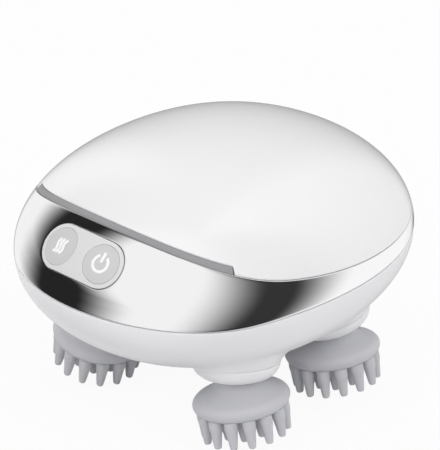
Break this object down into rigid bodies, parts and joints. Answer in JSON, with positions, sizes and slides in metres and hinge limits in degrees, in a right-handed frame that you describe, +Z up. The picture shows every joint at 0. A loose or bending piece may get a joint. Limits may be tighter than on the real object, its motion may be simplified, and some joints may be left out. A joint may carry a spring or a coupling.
{
  "type": "electric scalp massager",
  "caption": "Palm-held scalp massager: flattened egg-shaped body with mirror band and pill-shaped key panel, soft rotating heads with fingers below, worm-driven by one motor.",
  "frame": {"origin": "centre of the bounding box seen from above, on the plane of the lowest fingertips", "axes": "+Z up, away from the fingertips; -Y towards the key panel; +X to the side of the power key"},
  "size_m": [0.1124, 0.13, 0.0858],
  "materials": {
    "white_gloss_plastic": "high gloss",
    "grey_trim_plastic": "matt",
    "band_chrome": "mirror",
    "pale_shell_plastic": "satin",
    "key_plastic": "satin",
    "silicone": "soft matt",
    "seal_rubber": "matt",
    "white_nylon": "matt",
    "ground_steel": "ground",
    "brass": "turned",
    "chassis_plastic": "matt",
    "motor_steel": "plated",
    "dark_plastic": "matt",
    "circuit_board": "lacquered",
    "battery_wrap": "wrapped"
  },
  "bodies": {
    "casing": {"top_cover": "white_gloss_plastic", "trim_strip": "grey_trim_plastic", "chrome_band": "band_chrome", "lower_shell": "pale_shell_plastic", "key_panel": "key_plastic", "collar_front_left": "pale_shell_plastic", "collar_front_right": "pale_shell_plastic", "collar_rear_left": "pale_shell_plastic", "collar_rear_right": "pale_shell_plastic", "seal_front_left": "seal_rubber", "seal_front_right": "seal_rubber", "seal_rear_left": "seal_rubber", "seal_rear_right": "seal_rubber", "bush_front_left": "brass", "bush_front_right": "brass", "bush_rear_left": "brass", "bush_rear_right": "brass", "chassis": "chassis_plastic", "axle_left": "ground_steel", "axle_right": "ground_steel", "motor_can": "motor_steel", "motor_end_cap": "dark_plastic", "worm_bush": "brass", "main_board": "circuit_board", "key_board": "circuit_board", "mode_switch": "dark_plastic", "power_switch": "dark_plastic", "socket_board": "circuit_board", "charging_socket": "ground_steel", "battery": "battery_wrap", "chassis_screws": "ground_steel", "board_screws": "ground_steel"},
    "front_left_head": {"head_front_left": "silicone", "hub_front_left": "white_nylon", "shaft_front_left": "ground_steel", "gear_front_left": "white_nylon"},
    "front_right_head": {"head_front_right": "silicone", "hub_front_right": "white_nylon", "shaft_front_right": "ground_steel", "gear_front_right": "white_nylon"},
    "rear_left_head": {"head_rear_left": "silicone", "hub_rear_left": "white_nylon", "shaft_rear_left": "ground_steel", "gear_rear_left": "white_nylon"},
    "rear_right_head": {"head_rear_right": "silicone", "hub_rear_right": "white_nylon", "shaft_rear_right": "ground_steel", "gear_rear_right": "white_nylon"},
    "left_wheel": {"worm_wheel_left": "white_nylon"},
    "right_wheel": {"worm_wheel_right": "white_nylon"},
    "rotor": {"worm": "brass", "motor_shaft": "ground_steel"},
    "mode_button": {"mode_key": "key_plastic", "mode_plunger": "seal_rubber"},
    "power_button": {"power_key": "key_plastic", "power_plunger": "seal_rubber"}
  },
  "joints": [
    {"name": "front_left_head_spin", "type": "hinge", "parent": "casing", "child": "front_left_head", "pos_m": [-0.0305, -0.0211, 0.01267], "axis": [0.2079, 0, 0.9781], "continuous": true},
    {"name": "front_right_head_spin", "type": "hinge", "parent": "casing", "child": "front_right_head", "pos_m": [0.0305, -0.0211, 0.01267], "axis": [-0.2079, 0, 0.9781], "continuous": true},
    {"name": "rear_left_head_spin", "type": "hinge", "parent": "casing", "child": "rear_left_head", "pos_m": [-0.0305, 0.0211, 0.01267], "axis": [0.2079, 0, 0.9781], "continuous": true},
    {"name": "rear_right_head_spin", "type": "hinge", "parent": "casing", "child": "rear_right_head", "pos_m": [0.0305, 0.0211, 0.01267], "axis": [-0.2079, 0, 0.9781], "continuous": true},
    {"name": "left_wheel_spin", "type": "hinge", "parent": "casing", "child": "left_wheel", "pos_m": [-0.01631, 0, 0.04186], "axis": [0.2079, 0, 0.9781], "continuous": true},
    {"name": "right_wheel_spin", "type": "hinge", "parent": "casing", "child": "right_wheel", "pos_m": [0.01631, 0, 0.04186], "axis": [-0.2079, 0, 0.9781], "continuous": true},
    {"name": "rotor_spin", "type": "hinge", "parent": "casing", "child": "rotor", "pos_m": [0, 0, 0.03839], "axis": [0, 1, 0], "continuous": true},
    {"name": "mode_button_press", "type": "slide", "parent": "casing", "child": "mode_button", "axis": [0, 0.7265, -0.6872], "range_m": [0, 0.0005], "stiffness_N_per_m": 2000, "springref_m": -0.0003},
    {"name": "power_button_press", "type": "slide", "parent": "casing", "child": "power_button", "axis": [0, 0.7265, -0.6872], "range_m": [0, 0.0005], "stiffness_N_per_m": 2000, "springref_m": -0.0003}
  ],
  "couplings": [
    {"joint": "front_right_head_spin", "follows": "front_left_head_spin", "ratio": -1},
    {"joint": "rear_left_head_spin", "follows": "front_left_head_spin", "ratio": 1},
    {"joint": "rear_right_head_spin", "follows": "front_left_head_spin", "ratio": -1},
    {"joint": "left_wheel_spin", "follows": "front_left_head_spin", "ratio": -0.8},
    {"joint": "right_wheel_spin", "follows": "front_left_head_spin", "ratio": 0.8},
    {"joint": "rotor_spin", "follows": "front_left_head_spin", "ratio": -20}
  ]
}
